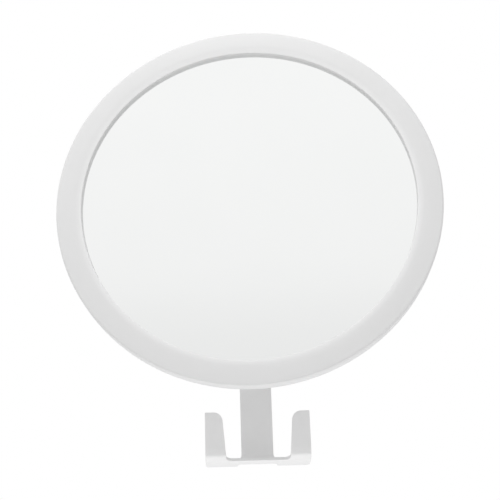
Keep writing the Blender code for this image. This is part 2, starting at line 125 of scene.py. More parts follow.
direction = add_node(sky, "ShaderNodeTexCoord")
heading = add_node(sky, "ShaderNodeSeparateXYZ")
height = add_node(sky, "ShaderNodeMapRange", {"From Min": -1.0, "From Max": 1.0})
light_ramp = add_node(sky, "ShaderNodeValToRGB")
shine_ramp = add_node(sky, "ShaderNodeValToRGB")
fill_ramp(light_ramp, light_stops)
fill_ramp(shine_ramp, shine_stops)
lighting = add_node(sky, "ShaderNodeBackground")
shining = add_node(sky, "ShaderNodeBackground")
white = add_node(sky, "ShaderNodeBackground", {"Color": (1, 1, 1, 1)})
rays = add_node(sky, "ShaderNodeLightPath")
seen = add_node(sky, "ShaderNodeMath", operation='MAXIMUM')
shine_or_light = add_node(sky, "ShaderNodeMixShader")
seen_or_not = add_node(sky, "ShaderNodeMixShader")
world_output = add_node(sky, "ShaderNodeOutputWorld")
join(sky, (direction.outputs["Generated"], heading.inputs[0]),
     (heading.outputs["Z"], height.inputs["Value"]),
     (height.outputs["Result"], light_ramp.inputs["Fac"]),
     (height.outputs["Result"], shine_ramp.inputs["Fac"]),
     (light_ramp.outputs["Color"], lighting.inputs["Color"]),
     (shine_ramp.outputs["Color"], shining.inputs["Color"]),
     (rays.outputs["Is Glossy Ray"], shine_or_light.inputs["Fac"]),
     (lighting.outputs[0], shine_or_light.inputs[1]),
     (shining.outputs[0], shine_or_light.inputs[2]),
     (rays.outputs["Is Camera Ray"], seen.inputs[0]),
     (rays.outputs["Is Transmission Ray"], seen.inputs[1]),
     (seen.outputs[0], seen_or_not.inputs["Fac"]),
     (shine_or_light.outputs[0], seen_or_not.inputs[1]),
     (white.outputs[0], seen_or_not.inputs[2]),
     (seen_or_not.outputs[0], world_output.inputs["Surface"]))
print("world", studio.name)

# %% Lamps
mirror_middle = (0, -0.05, 0)
table_middle = (0, 0.35, 0)


def softbox(name, width, depth, brightness, place, target):
    """An area lamp whose face has the given brightness, where 1 is white. Only what it lights shows."""
    data = bpy.data.lights.new(name, 'AREA')
    data.shape = 'RECTANGLE'
    data.size = width
    data.size_y = depth
    data.energy = brightness * pi * width * depth
    made = bpy.data.objects.new(name, data)
    made.location = place
    aim = Vector(target) - made.location
    made.rotation_euler = aim.to_track_quat('-Z', 'Y').to_euler()
    made.visible_camera = False
    made.visible_glossy = False
    bpy.context.scene.collection.objects.link(made)
    print(name, "energy", round(data.energy, 2))


softbox("top_softbox", 0.70, 0.26, 2.6, (-0.10, -0.28, 0.44), mirror_middle)
softbox("front_softbox", 0.50, 0.50, 0.8, (-0.12, -0.90, 0.22), mirror_middle)
softbox("left_softbox", 0.40, 0.60, 0.3, (-0.60, -0.50, 0.10), mirror_middle)
softbox("back_softbox", 0.80, 0.80, 1.6, (0.10, 0.90, 0.15), mirror_middle)
softbox("light_table", 2.2, 1.8, 0.51, (0, 0.35, -0.645), table_middle)

# %% Floor
floor_level = -0.66
floor_reach = 30.0
floor_white = (0.84, 0.84, 0.84, 1)

floor_shape = bmesh.new()
bmesh.ops.create_grid(floor_shape, x_segments=1, y_segments=1, size=floor_reach,
                      matrix=Matrix.Translation((0, 0, floor_level)))
floor_mesh = bpy.data.meshes.new("floor")
floor_shape.to_mesh(floor_mesh)
floor_shape.free()
floor = bpy.data.objects.new("floor", floor_mesh)
bpy.context.scene.collection.objects.link(floor)
floor_paint = bpy.data.materials.new("floor_paint")
floor_paint.use_nodes = True
floor_shader = floor_paint.node_tree.nodes["Principled BSDF"]
floor_shader.inputs["Base Color"].default_value = floor_white
floor_shader.inputs["Roughness"].default_value = 0.85
floor_mesh.materials.append(floor_paint)
print("floor at", floor_level)

# %% [markdown]
# ## Shared effects
# Mould grain, turning marks and rubbed edges come back in several finishes, so each is a node group
# with named inputs. They read Object coordinates in metres, so the grain has its real size on every
# piece. What comes out are colours, masks and heights only; each material keeps its own shader.

# %% Group helpers; a Mix node holds sockets of every kind, so the ones in use are given by number
NUMBER = 'NodeSocketFloat'
COLOUR = 'NodeSocketColor'
PLACE = 'NodeSocketVector'
MIX_SHARE = 0
NUMBER_A, NUMBER_B, NUMBER_OUT = 2, 3, 0
COLOUR_A, COLOUR_B, COLOUR_OUT = 6, 7, 2
NOISE_MIDDLE = {"From Min": 0.3, "From Max": 0.7}


def new_group(name, inputs, outputs):
    """A shader node group; inputs are (name, kind, default) rows and outputs (name, kind) rows."""
    tree = bpy.data.node_groups.new(name, 'ShaderNodeTree')
    for label, kind, default in inputs:
        socket = tree.interface.new_socket(name=label, in_out='INPUT', socket_type=kind)
        socket.default_value = default
    for label, kind in outputs:
        tree.interface.new_socket(name=label, in_out='OUTPUT', socket_type=kind)
    return tree, tree.nodes.new("NodeGroupInput"), tree.nodes.new("NodeGroupOutput")


def noise_at(tree, place, size_socket, detail, roughness=0.55):
    """A noise whose grains have the size, in metres, that the socket gives."""
    count = add_node(tree, "ShaderNodeMath", {0: 1.0}, operation='DIVIDE')
    noise = add_node(tree, "ShaderNodeTexNoise", {"Detail": detail, "Roughness": roughness})
    join(tree, (size_socket, count.inputs[1]), (count.outputs[0], noise.inputs["Scale"]),
         (place, noise.inputs["Vector"]))
    return noise


# %% Surface grain: a fine and a broad noise vary colour, roughness and height
grain, grain_in, grain_out = new_group(
    "surface_grain",
    [("Fine Size", NUMBER, 0.0004), ("Broad Size", NUMBER, 0.02),
     ("Colour A", COLOUR, (0.8, 0.8, 0.8, 1)), ("Colour B", COLOUR, (0.76, 0.76, 0.76, 1)),
     ("Roughness Low", NUMBER, 0.35), ("Roughness High", NUMBER, 0.5), ("Fine Share", NUMBER, 0.6)],
    [("Color", COLOUR), ("Roughness", NUMBER), ("Height", NUMBER)])
where = add_node(grain, "ShaderNodeTexCoord").outputs["Object"]
fine = noise_at(grain, where, grain_in.outputs["Fine Size"], 3.0)
broad = noise_at(grain, where, grain_in.outputs["Broad Size"], 4.0)
tone = add_node(grain, "ShaderNodeMapRange", NOISE_MIDDLE)
tint = add_node(grain, "ShaderNodeMix", data_type='RGBA')
relief = add_node(grain, "ShaderNodeMix", data_type='FLOAT')
gloss = add_node(grain, "ShaderNodeMapRange", NOISE_MIDDLE)
join(grain, (broad.outputs["Fac"], tone.inputs["Value"]),
     (tone.outputs["Result"], tint.inputs[MIX_SHARE]),
     (grain_in.outputs["Colour A"], tint.inputs[COLOUR_A]),
     (grain_in.outputs["Colour B"], tint.inputs[COLOUR_B]),
     (grain_in.outputs["Fine Share"], relief.inputs[MIX_SHARE]),
     (broad.outputs["Fac"], relief.inputs[NUMBER_A]),
     (fine.outputs["Fac"], relief.inputs[NUMBER_B]),
     (relief.outputs[NUMBER_OUT], gloss.inputs["Value"]),
     (grain_in.outputs["Roughness Low"], gloss.inputs["To Min"]),
     (grain_in.outputs["Roughness High"], gloss.inputs["To Max"]),
     (tint.outputs[COLOUR_OUT], grain_out.inputs["Color"]),
     (gloss.outputs[0], grain_out.inputs["Roughness"]),
     (relief.outputs[NUMBER_OUT], grain_out.inputs["Height"]))
print("group", grain.name, len(grain.nodes), "nodes")

# %% Rubbed edges: a mask along edges, broken up by noise
rub, rub_in, rub_out = new_group(
    "rubbed_edges", [("Width", NUMBER, 0.0003), ("Speck Size", NUMBER, 0.002), ("Amount", NUMBER, 0.6)],
    [("Mask", NUMBER)])
rub_where = add_node(rub, "ShaderNodeTexCoord").outputs["Object"]
rounded = add_node(rub, "ShaderNodeBevel", samples=6)
true_normal = add_node(rub, "ShaderNodeNewGeometry").outputs["Normal"]
likeness = add_node(rub, "ShaderNodeVectorMath", operation='DOT_PRODUCT')
edge = add_node(rub, "ShaderNodeMapRange", {"From Min": 0.995, "From Max": 0.80})
speck = noise_at(rub, rub_where, rub_in.outputs["Speck Size"], 5.0, 0.65)
broken = add_node(rub, "ShaderNodeMapRange", {"From Min": 0.42, "From Max": 0.62})
both = add_node(rub, "ShaderNodeMath", operation='MULTIPLY')
scaled = add_node(rub, "ShaderNodeMath", operation='MULTIPLY', use_clamp=True)
join(rub, (rub_in.outputs["Width"], rounded.inputs["Radius"]),
     (rounded.outputs[0], likeness.inputs[0]), (true_normal, likeness.inputs[1]),
     (likeness.outputs["Value"], edge.inputs["Value"]), (speck.outputs["Fac"], broken.inputs["Value"]),
     (edge.outputs[0], both.inputs[0]), (broken.outputs[0], both.inputs[1]),
     (both.outputs[0], scaled.inputs[0]), (rub_in.outputs["Amount"], scaled.inputs[1]),
     (scaled.outputs[0], rub_out.inputs["Mask"]))
print("group", rub.name, len(rub.nodes), "nodes")

# %% Turning marks: fine rings round a piece's own axis, which its material gives as a place
turning, turning_in, turning_out = new_group(
    "turning_marks",
    [("Place", PLACE, (0, 0, 0)), ("Mark Size", NUMBER, 0.0002), ("Colour A", COLOUR, (0.6, 0.6, 0.6, 1)),
     ("Colour B", COLOUR, (0.5, 0.5, 0.5, 1)), ("Roughness Low", NUMBER, 0.2),
     ("Roughness High", NUMBER, 0.4)],
    [("Color", COLOUR), ("Roughness", NUMBER), ("Height", NUMBER)])


def off_axis(tree, place):
    """A place's distance from the Y axis, and the node that splits the place into X, Y and Z."""
    split = add_node(tree, "ShaderNodeSeparateXYZ")
    flat = add_node(tree, "ShaderNodeCombineXYZ")
    length = add_node(tree, "ShaderNodeVectorMath", operation='LENGTH')
    join(tree, (place, split.inputs[0]), (split.outputs["X"], flat.inputs["X"]),
         (split.outputs["Z"], flat.inputs["Z"]), (flat.outputs[0], length.inputs[0]))
    return length.outputs["Value"], split


distance, split = off_axis(turning, turning_in.outputs["Place"])
polar = add_node(turning, "ShaderNodeCombineXYZ")
rings = noise_at(turning, polar.outputs[0], turning_in.outputs["Mark Size"], 2.0)
patches = add_node(turning, "ShaderNodeTexNoise", {"Scale": 260.0, "Detail": 3.0})
ring_tone = add_node(turning, "ShaderNodeMapRange", NOISE_MIDDLE)
patch_tint = add_node(turning, "ShaderNodeMix", data_type='RGBA')
join(turning, (distance, polar.inputs["X"]), (split.outputs["Y"], polar.inputs["Y"]),
     (turning_in.outputs["Place"], patches.inputs["Vector"]),
     (rings.outputs["Fac"], ring_tone.inputs["Value"]),
     (turning_in.outputs["Roughness Low"], ring_tone.inputs["To Min"]),
     (turning_in.outputs["Roughness High"], ring_tone.inputs["To Max"]),
     (patches.outputs["Fac"], patch_tint.inputs[MIX_SHARE]),
     (turning_in.outputs["Colour A"], patch_tint.inputs[COLOUR_A]),
     (turning_in.outputs["Colour B"], patch_tint.inputs[COLOUR_B]),
     (patch_tint.outputs[COLOUR_OUT], turning_out.inputs["Color"]),
     (ring_tone.outputs[0], turning_out.inputs["Roughness"]),
     (rings.outputs["Fac"], turning_out.inputs["Height"]))
print("group", turning.name, len(turning.nodes), "nodes")

# %% [markdown]
# ## Finishes
# Every finish is a Principled material. Its colour, roughness and relief come from one of the groups,
# and a rubbed edge mask lays a second colour over the edges. Relief depths are real: a few hundredths
# of a millimetre on mouldings and powder coat, less on turned steel.

# %% Finish helpers


def put_group(tree, group, values):
    """A node in the tree that holds the group, with its inputs filled."""
    made = tree.nodes.new("ShaderNodeGroup")
    made.node_tree = group
    for socket, value in values.items():
        made.inputs[socket].default_value = value
    return made


def put_place(tree, place):
    """Object coordinates seen from a place, given as (centre, turn)."""
    centre, turn = place
    coords = add_node(tree, "ShaderNodeTexCoord")
    mapping = add_node(tree, "ShaderNodeMapping", {"Location": centre, "Rotation": turn},
                       vector_type='TEXTURE')
    join(tree, (coords.outputs["Object"], mapping.inputs["Vector"]))
    return mapping.outputs[0]


def grey(value, warm=0.0):
    """A nearly neutral colour; warm above zero leans to yellow."""
    return (value * (1 + warm / 2), value, value * (1 - warm), 1)


def grained(fine_size, broad_size, colours, roughness, fine_share=0.6):
    """The grain group's inputs: two sizes in metres, two colours, a roughness range."""
    return {"Fine Size": fine_size, "Broad Size": broad_size, "Colour A": colours[0],
            "Colour B": colours[1], "Roughness Low": roughness[0], "Roughness High": roughness[1],
            "Fine Share": fine_share}


def marked(mark_size, colours, roughness):
    """The turning group's inputs: a size in metres, two colours, a roughness range."""
    return {"Mark Size": mark_size, "Colour A": colours[0], "Colour B": colours[1],
            "Roughness Low": roughness[0], "Roughness High": roughness[1]}


def finish(name, group, values, depth, metallic=0.0, rubbed=None, place=None):
    """A material fed by a group, with relief of the given depth in metres.

    rubbed is (width, speck size, amount, colour) of its worn edges, and place the (centre, turn) of
    the axis that turning marks run round.
    """
    made = bpy.data.materials.new(name)
    made.use_nodes = True
    tree = made.node_tree
    shader = tree.nodes["Principled BSDF"]
    shader.inputs["Metallic"].default_value = metallic
    source = put_group(tree, group, values)
    bump = add_node(tree, "ShaderNodeBump", {"Strength": 1.0, "Distance": depth})
    join(tree, (source.outputs["Roughness"], shader.inputs["Roughness"]),
         (source.outputs["Height"], bump.inputs["Height"]),
         (bump.outputs[0], shader.inputs["Normal"]))
    if place:
        join(tree, (put_place(tree, place), source.inputs["Place"]))
    if not rubbed:
        join(tree, (source.outputs["Color"], shader.inputs["Base Color"]))
        return made
    width, speck_size, amount, colour = rubbed
    mask = put_group(tree, rub, {"Width": width, "Speck Size": speck_size, "Amount": amount})
    over = add_node(tree, "ShaderNodeMix", {COLOUR_B: colour}, data_type='RGBA')
    join(tree, (mask.outputs["Mask"], over.inputs[MIX_SHARE]),
         (source.outputs["Color"], over.inputs[COLOUR_A]),
         (over.outputs[COLOUR_OUT], shader.inputs["Base Color"]))
    return made


# %% Plastics, powder coat, foam and board
rim_white = finish(
    "rim_white", grain, grained(0.00035, 0.035, (grey(0.78), grey(0.765)), (0.36, 0.44)),
    0.000006, rubbed=(0.0003, 0.004, 0.35, grey(0.86)))
cover_white = finish(
    "cover_white", grain, grained(0.0006, 0.03, (grey(0.77), grey(0.75)), (0.46, 0.58)),
    0.00002, rubbed=(0.0004, 0.003, 0.4, grey(0.83)))
base_white = finish(
    "base_white", grain, grained(0.0005, 0.02, (grey(0.78), grey(0.76)), (0.42, 0.52)),
    0.000012, rubbed=(0.0004, 0.003, 0.4, grey(0.84)))
powder_coat = finish(
    "powder_coat", grain, grained(0.0014, 0.006, (grey(0.845), grey(0.83)), (0.30, 0.40), 0.75),
    0.00002, rubbed=(0.0003, 0.002, 0.3, grey(0.66)))
nylon_black = finish(
    "nylon_black", grain, grained(0.0003, 0.004, (grey(0.030), grey(0.045)), (0.42, 0.62)),
    0.000015, rubbed=(0.0003, 0.001, 0.5, grey(0.11)))
acetal_white = finish(
    "acetal_white", grain, grained(0.0008, 0.005, (grey(0.78, 0.04), grey(0.74, 0.06)), (0.28, 0.36)),
    0.000004, rubbed=(0.0002, 0.001, 0.4, grey(0.84, 0.02)))
foam_grey = finish(
    "foam_grey", grain, grained(0.0005, 0.009, (grey(0.34, 0.02), grey(0.27, 0.02)), (0.85, 0.98), 0.85),
    0.00012, rubbed=(0.0004, 0.002, 0.5, grey(0.42)))
board_brown = (0.20, 0.13, 0.075, 1)
board_dark = (0.13, 0.085, 0.05, 1)
board_worn = (0.30, 0.21, 0.13, 1)
pressed_board = finish(
    "pressed_board", grain, grained(0.0007, 0.005, (board_brown, board_dark), (0.75, 0.9)),
    0.00005, rubbed=(0.0005, 0.002, 0.6, board_worn))
print("plastics, coat, foam and board made")

# %% Metals; the head's pieces are turned round the mirror's axis, the others round the wall's
head_swivel = radians(-4.4)
ball_centre = tuple(frame["joints"][0]["pos_m"])
wall_axis = ((0, 0, 0), (0, 0, 0))
head_axis = (ball_centre, (0, 0, head_swivel))
METAL = 1.0

zinc_plate = finish(
    "zinc_plate", turning, marked(0.0004, ((0.60, 0.61, 0.60, 1), (0.50, 0.52, 0.55, 1)), (0.26, 0.42)),
    0.000004, METAL, (0.0002, 0.001, 0.5, (0.72, 0.72, 0.71, 1)), wall_axis)
polished_steel = finish(
    "polished_steel", turning,
    marked(0.00025, ((0.63, 0.63, 0.63, 1), (0.56, 0.56, 0.57, 1)), (0.12, 0.22)),
    0.000002, METAL, (0.0002, 0.001, 0.4, (0.74, 0.74, 0.74, 1)), wall_axis)
blued_steel = finish(
    "blued_steel", turning, marked(0.0003, ((0.16, 0.18, 0.24, 1), (0.24, 0.20, 0.15, 1)), (0.22, 0.35)),
    0.000003, METAL, (0.0002, 0.001, 0.5, (0.45, 0.45, 0.46, 1)), head_axis)
screw_steel = finish(
    "screw_steel", grain,
    grained(0.0003, 0.003, ((0.58, 0.59, 0.58, 1), (0.50, 0.52, 0.56, 1)), (0.24, 0.38)),
    0.000005, METAL, (0.00015, 0.0006, 0.6, (0.72, 0.72, 0.72, 1)))
print("metals made")

# %% [markdown]
# The photo shows the rim's inner lip a little paler than its face, as it catches light from the
# glass. Its roundness gives a part of that. The rest is a painted highlight: a mask that grows towards
# the glass lays a slightly paler white over the moulding's own, on the lip and on the wall inside it.

# %% Paler lip: light from the glass, painted on as colour
# Painted highlight: a paler white on the lip and the wall inside it, for light they catch from the glass
painted_lip_light = grey(0.84)
blend_outer, blend_inner = 0.0900, 0.0873


def paint_light_ring(material, place, outer, inner, colour):
    """Paints light as colour: mixes a colour over the material's own, from the outer radius inwards,
    round a piece's axis.
    """
    tree = material.node_tree
    base = tree.nodes["Principled BSDF"].inputs["Base Color"]
    plain = base.links[0].from_socket
    radius, _ = off_axis(tree, put_place(tree, place))
    share = add_node(tree, "ShaderNodeMapRange", {"From Min": outer, "From Max": inner})
    over = add_node(tree, "ShaderNodeMix", {COLOUR_B: colour}, data_type='RGBA')
    join(tree, (radius, share.inputs["Value"]), (share.outputs[0], over.inputs[MIX_SHARE]),
         (plain, over.inputs[COLOUR_A]), (over.outputs[COLOUR_OUT], base))


# The rim's lip gets its painted highlight here
paint_light_ring(rim_white, head_axis, blend_outer, blend_inner, painted_lip_light)
print("paler lip on", rim_white.name)

# %% [markdown]
# ## The glass
# A mirror is clear float glass with silver and a grey paint on its back, and a ground, slightly
# green edge. Clear glass over silver looks like one bright surface from any distance, so the front
# is one polished metal with a very faint haze, and the edge and the painted back are materials of
# their own on the same piece.

# %% Glass finishes
silver_front = finish(
    "silver_front", grain,
    grained(0.003, 0.05, ((0.930, 0.936, 0.932, 1), (0.920, 0.928, 0.923, 1)), (0.0, 0.03), 0.3),
    0.0000002, METAL)
ground_edge = finish(
    "ground_edge", grain,
    grained(0.0002, 0.003, ((0.42, 0.56, 0.50, 1), (0.34, 0.48, 0.42, 1)), (0.3, 0.5)), 0.00001)
back_paint = finish(
    "back_paint", grain, grained(0.001, 0.008, (grey(0.20), grey(0.16)), (0.4, 0.55)), 0.00001)
print("glass finishes made")

# %% [markdown]
# ## Turned pieces
# Most pieces here are round: the rim, the glass, the cover, the socket. Each starts as the corners of
# its section, drawn as a wire. A vertex bevel rounds the corners, and a spin sweeps the section round
# the forward axis. The seam is merged and the normals are made to point out.

# %% Piece helpers; both places turn local Z to face away from the wall
wall_place = Matrix.Rotation(pi / 2, 4, 'X')
head_place = (Matrix.Translation(ball_centre) @ Matrix.Rotation(head_swivel, 4, 'Z')
              @ Matrix.Rotation(pi / 2, 4, 'X'))
ball_depth = 0.026
merge_distance = 0.000002
corner_steps = 6
rim_steps, cover_steps, base_steps, socket_steps, stud_steps, screw_steps = 192, 144, 128, 96, 64, 40
smooth_angle = radians(40)
MM = 1000


def round_off(shape, geom, offset, steps, affect):
    """Bevels 'VERTICES' or 'EDGES' into rounds."""
    bmesh.ops.bevel(shape, geom=geom, offset=offset, offset_type='OFFSET', segments=steps,
                    profile=0.5, affect=affect, material=-1)


def section(shape, corners):
    """A closed wire in the local XZ plane from (radius, height, rounding) corners."""
    points = [shape.verts.new((radius, 0, z)) for radius, z, rounding in corners]
    for index, point in enumerate(points):
        shape.edges.new((points[index - 1], point))
    for point, (radius, z, rounding) in zip(points, corners):
        if rounding:
            round_off(shape, [point], rounding, corner_steps, 'VERTICES')


def sweep(shape, steps):
    """Spins all that is in the shape one full turn round local Z and closes it."""
    bmesh.ops.spin(shape, geom=shape.verts[:] + shape.edges[:], cent=(0, 0, 0), axis=(0, 0, 1),
                   angle=2 * pi, steps=steps, use_merge=True, use_duplicate=False)
    bmesh.ops.remove_doubles(shape, verts=shape.verts[:], dist=merge_distance)
    bmesh.ops.dissolve_degenerate(shape, edges=shape.edges[:], dist=merge_distance / 10)
    bmesh.ops.recalc_face_normals(shape, faces=shape.faces[:])


def piece(name, mesh, body, nodes, materials):
    """Shades the mesh, puts it in the scene, ties it to its body, hides the CAD nodes it replaces and
    fills its material slots.
    """
    for made in materials:
        mesh.materials.append(made)
    mesh.shade_smooth()
    mesh.set_sharp_from_angle(angle=smooth_angle)
    item = bpy.data.objects.new(name, mesh)
    bpy.context.scene.collection.objects.link(item)
    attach(item, body)
    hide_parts(*nodes)
    sides = [[v.co[axis] * MM for v in mesh.vertices] for axis in range(3)]
    print(name, len(mesh.polygons), "faces, mm", [round(max(side) - min(side), 2) for side in sides])
    return item


def mesh_of(shape, name, place):
    """The bmesh as a mesh, moved to its place in the row frame."""
    mesh = bpy.data.meshes.new(name)
    shape.transform(place)
    shape.to_mesh(mesh)
    shape.free()
    return mesh


def turned(name, corners, steps, place, body, nodes, materials):
    """A piece swept from a section, in the given number of steps."""
    shape = bmesh.new()
    section(shape, corners)
    sweep(shape, steps)
    return piece(name, mesh_of(shape, name, place), body, nodes, materials)


def behind_face(corners):
    """Corners given as (radius, depth behind the rim's face, rounding), as the ball sees them."""
    return [(radius, ball_depth - depth, rounding) for radius, depth, rounding in corners]


def arc(radius, start, end, steps, middle=0.0):
    """Corners along an arc round (0, middle); its angles start from straight down."""
    turns = [start + (end - start) * step / steps for step in range(steps + 1)]
    return [(radius * sin(turn), middle - radius * cos(turn), 0) for turn in turns]


# %% [markdown]
# ## The rim
# The rim is one white moulding. Its face is flat, and with the lip it is 13 mm wide. Towards the glass
# it rolls over in a soft lip, an arc of 18.5 mm radius that drops 0.7 mm over the last five. The lip
# shows in the photo as a brighter band along the rim's lower half, where it leans up to the light.
# Outside there is a small round and a plain skirt. Behind the face, a rib centres the glass.

# %% Rim
rim_radius, rim_depth = 0.1000, 0.0075
lip_radius = 0.0870
roll_radius, roll_start, roll_steps = 0.0185, 0.0920, 8
lip_back, web_back = 0.00268, 0.0024
rib_inner, rib_outer, rib_back = 0.0887, 0.0903, 0.0050
skirt_inner, skirt_outer = 0.0974, 0.0998

lip_roll = [(roll_start - radius, roll_radius + z, 0)
            for radius, z, rounding in arc(roll_radius, 0, asin((roll_start - lip_radius) / roll_radius),
                                           roll_steps)]
lip_edge = lip_roll.pop()[1]
rim_corners = lip_roll + [(lip_radius, lip_edge, 0.0002), (lip_radius, lip_back, 0),
                          (rib_inner, lip_back, 0), (rib_inner, rib_back, 0.0002),
                          (rib_outer, rib_back, 0.0002), (rib_outer, web_back, 0),
                          (skirt_inner, web_back, 0), (skirt_inner, rim_depth, 0.0003),
                          (skirt_outer, rim_depth, 0.0004), (rim_radius, 0, 0.0012)]
turned("fine_rim", behind_face(rim_corners), rim_steps, head_place, "mirror_head", ["front_rim"],
       [rim_white])

# %% Glass: front, edge and back are told apart by where their faces look
glass_radius, glass_front, glass_back = 0.0884, 0.0027, 0.0057
glass_edge = 0.0004
facing_limit = 0.9

glass_corners = [(0, glass_front, 0), (glass_radius, glass_front, glass_edge),
                 (glass_radius, glass_back, glass_edge), (0, glass_back, 0)]
glass = turned("fine_glass", behind_face(glass_corners), rim_steps, head_place, "mirror_head",
               ["mirror_glass"], [silver_front, ground_edge, back_paint])
look = head_place.to_3x3() @ Vector((0, 0, 1))
for face in glass.data.polygons:
    facing = face.normal.dot(look)
    face.material_index = 0 if facing > facing_limit else 2 if facing < -facing_limit else 1
print("silvered faces", sum(face.material_index == 0 for face in glass.data.polygons))

# %% [markdown]
# ## The rear cover
# A shallow dish closes the head. Its flange is flush with the rim's skirt, a slope carries it back,
# and a cone rises to the hub that holds the socket. The outside corners are softly rounded, as a
# moulding needs to leave its tool.

# %% Rear cover
flange_radius, flange_front = 0.0971, 0.0053
slope_outer, slope_inner, wall_inner = 0.0909, 0.0872, 0.0846
dish_radius, dish_back, dish_front = 0.0706, 0.0113, 0.0091
hub_radius, hub_back, hub_front = 0.0273, 0.0150, 0.0128
hub_bore = 0.0143
spigot_front = 0.0060

cover_corners = [(flange_radius, flange_front, 0), (flange_radius, rim_depth, 0.0004),
                 (slope_outer, rim_depth, 0.0010), (slope_inner, dish_back, 0.0020),
                 (dish_radius, dish_back, 0.0060), (hub_radius, hub_back, 0.0030),
                 (hub_bore, hub_back, 0.0003), (hub_bore, hub_front, 0),
                 (hub_radius, hub_front, 0.0020), (dish_radius, dish_front, 0.0040),
                 (wall_inner, dish_front, 0.0003), (wall_inner, spigot_front, 0),
                 (rib_inner, spigot_front, 0), (rib_inner, flange_front, 0)]
turned("fine_cover", behind_face(cover_corners), cover_steps, head_place, "mirror_head",
       ["rear_cover"], [cover_white])

# %% [markdown]
# ## Screws
# All eleven screws are pan heads with a cross recess. One is modelled for each size: a turned head and
# shank, with two tapered bars cut out of its crown by Boolean modifiers. The result is copied to every
# place, each with its own turn, because nobody lines up recesses by hand.

# %% Cutting helper


def cut(mesh, cutters, operation='DIFFERENCE'):
    """A new mesh: the first one with each cutter taken away, or added with UNION."""
    base = bpy.data.objects.new("work", mesh)
    bpy.context.scene.collection.objects.link(base)
    helpers = []
    for cutter in cutters:
        tool = bpy.data.objects.new("tool", cutter)
        bpy.context.scene.collection.objects.link(tool)
        step = base.modifiers.new("step", 'BOOLEAN')
        step.operation = operation
        step.solver = 'EXACT'
        step.object = tool
        helpers.append(tool)
    bpy.context.view_layer.update()
    made = bpy.data.meshes.new_from_object(base.evaluated_get(bpy.context.evaluated_depsgraph_get()))
    for item in [base] + helpers:
        bpy.data.objects.remove(item, do_unlink=True)
    return made


# %% Screw shape
bar_foot_reach, bar_foot_width = 0.45, 0.7


def recess_bar(width, reach, depth, top, turn):
    """One tapered bar of a cross recess; its top stands a little proud of the crown."""
    shape = bmesh.new()
    bmesh.ops.create_cube(shape, size=1.0)
    for vertex in shape.verts:
        upper = vertex.co.z > 0
        vertex.co.x *= reach * (1.0 if upper else bar_foot_reach)
        vertex.co.y *= width * (1.0 if upper else bar_foot_width)
        vertex.co.z = top + width if upper else top - depth
    return mesh_of(shape, "recess_bar", Matrix.Rotation(turn, 4, 'Z'))


def screw_mesh(head_radius, head_height, radius, length):
    """A pan-head screw that stands on local z = 0 with its shank below."""
    crown = head_height * 0.3
    crown_radius = head_radius * 0.62
    shoulder = head_height * 0.55
    foot = head_height * 0.08
    tip_radius = radius * 0.4
    shape = bmesh.new()
    section(shape, [(0, head_height, 0), (crown_radius, head_height, crown),
                    (head_radius, shoulder, crown), (head_radius, 0, foot), (radius, 0, 0),
                    (radius, radius - length, 0), (tip_radius, -length, 0), (0, -length, 0)])
    sweep(shape, screw_steps)
    plain = mesh_of(shape, "screw", Matrix())
    bar_width, bar_reach, bar_depth = radius * 0.48, head_radius * 1.05, head_height * 0.62
    bars = [recess_bar(bar_width, bar_reach, bar_depth, head_height, turn) for turn in (0, pi / 2)]
    return cut(plain, bars)


# %% Place the screws
cover_screw_ring, cover_screw_depth = 0.09385, 0.0078
socket_screw_ring, socket_screw_seat = 0.0190, -0.0030
strap_screw_rise, strap_screw_seat = 0.0190, 0.0137
first_turn, next_turn = 17, 37

cover_screw = screw_mesh(head_radius=0.0026, head_height=0.0018, radius=0.0013, length=0.0049)
socket_screw = screw_mesh(head_radius=0.0026, head_height=0.0016, radius=0.0015, length=0.0193)
strap_screw = screw_mesh(head_radius=0.0036, head_height=0.0018, radius=0.0020, length=0.0121)
print("one screw has", len(cover_screw.polygons), "faces")


def ring_places(count, start, radius):
    """Evenly spaced (x, y) places on a circle, from a start angle in degrees."""
    turns = [radians(start + 360 / count * index) for index in range(count)]
    return [(radius * cos(turn), radius * sin(turn)) for turn in turns]


rows = []
for index, (x, y) in enumerate(ring_places(6, 30, cover_screw_ring)):
    rows.append(("cover_screw_%d" % (index + 1), cover_screw, head_place, "mirror_head",
                 x, y, ball_depth - cover_screw_depth, pi))
for index, (x, y) in enumerate(ring_places(3, 90, socket_screw_ring)):
    rows.append(("socket_screw_%d" % (index + 1), socket_screw, head_place, "mirror_head",
                 x, y, socket_screw_seat, pi))
for name, rise in (("strap_screw_upper", strap_screw_rise), ("strap_screw_lower", -strap_screw_rise)):
    rows.append((name, strap_screw, wall_place, "wall_bracket", 0, rise, strap_screw_seat, 0))
for index, (name, source, place, body, x, y, z, flip) in enumerate(rows):
    mesh = source.copy()
    mesh.name = "fine_" + name
    spin = Matrix.Rotation(radians(first_turn + next_turn * index), 4, 'Z')
    mesh.transform(place @ Matrix.Translation((x, y, z)) @ Matrix.Rotation(flip, 4, 'X') @ spin)
    piece("fine_" + name, mesh, body, [name], [screw_steel])

# %% [markdown]
# ## The ball joint
# A steel ball on a neck sits in a black nylon socket. The front half of the socket is a cup with a
# flange and three pillars, the rear half a clamp ring with a domed mouth. The ball's collar is a
# hexagon, so that a spanner can hold it while its nut is done up inside the base.

# %% Ball stud
ball_radius = 0.0090
ball_reach = 0.0307
ball_steps = 24
neck_radius, neck_foot = 0.0032, 0.0160
shank_radius, shank_foot, shank_edge = 0.0030, 0.0034, 0.0005
collar_radius, collar_height, collar_middle, collar_edge = 0.0075, 0.0025, 0.01495, 0.0003

